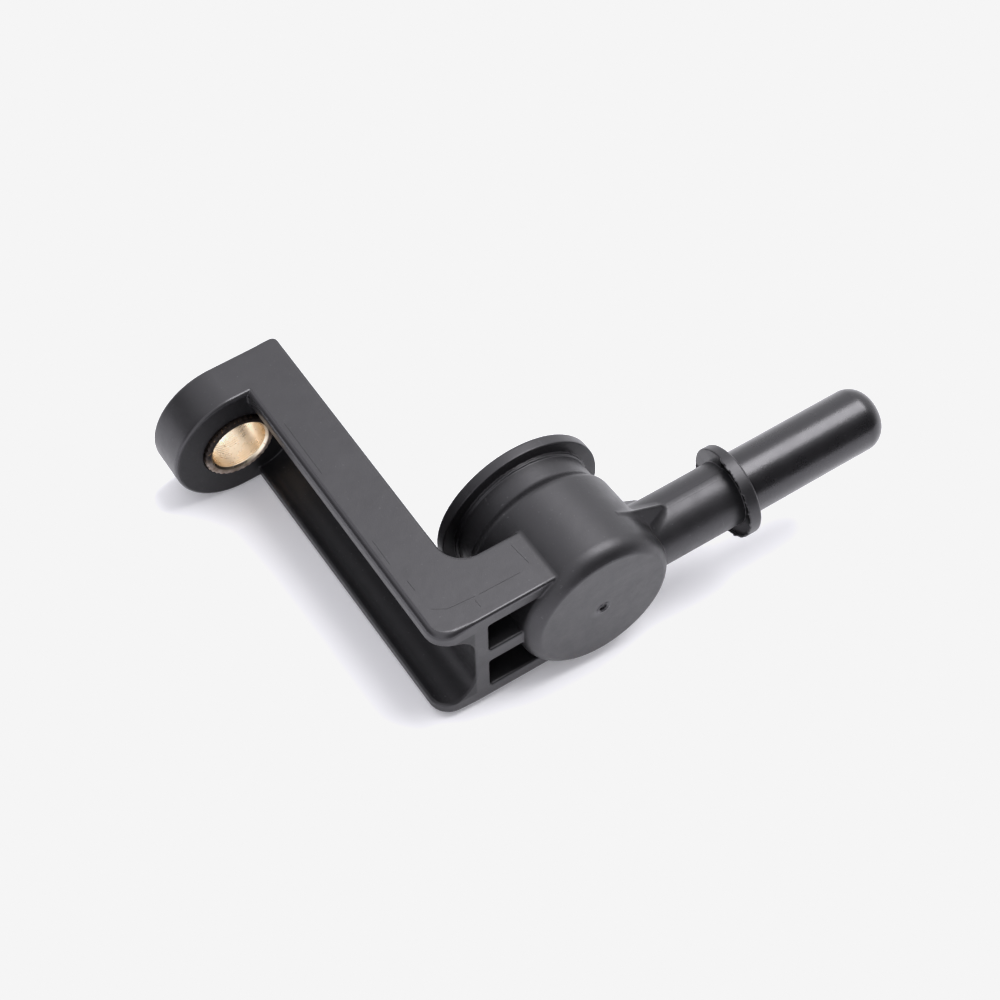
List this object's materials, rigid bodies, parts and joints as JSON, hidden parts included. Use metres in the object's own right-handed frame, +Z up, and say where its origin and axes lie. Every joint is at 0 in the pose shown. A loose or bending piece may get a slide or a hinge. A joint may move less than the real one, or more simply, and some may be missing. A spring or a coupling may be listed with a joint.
{
  "type": "fluid feed joint with mounting arm",
  "caption": "Closed socket cup with a retaining flange, a beaded quick-connect spigot at right angles, and an L-shaped channel-section arm ending in an ear with a brass bush.",
  "frame": {"origin": "centre of the cup's flat closed end", "axes": "+Y along the cup's axis towards its open mouth, +X along the spigot towards its tip, +Z up, square to the arm's two flat sides"},
  "size_m": [0.0732, 0.0491, 0.0214],
  "materials": {
    "moulded_plastic": "fine-grained matt, charcoal grey",
    "bush_brass": "turned, slightly dull"
  },
  "bodies": {
    "root": {"moulded_body": "moulded_plastic", "brass_bush": "bush_brass"}
  },
  "joints": []
}
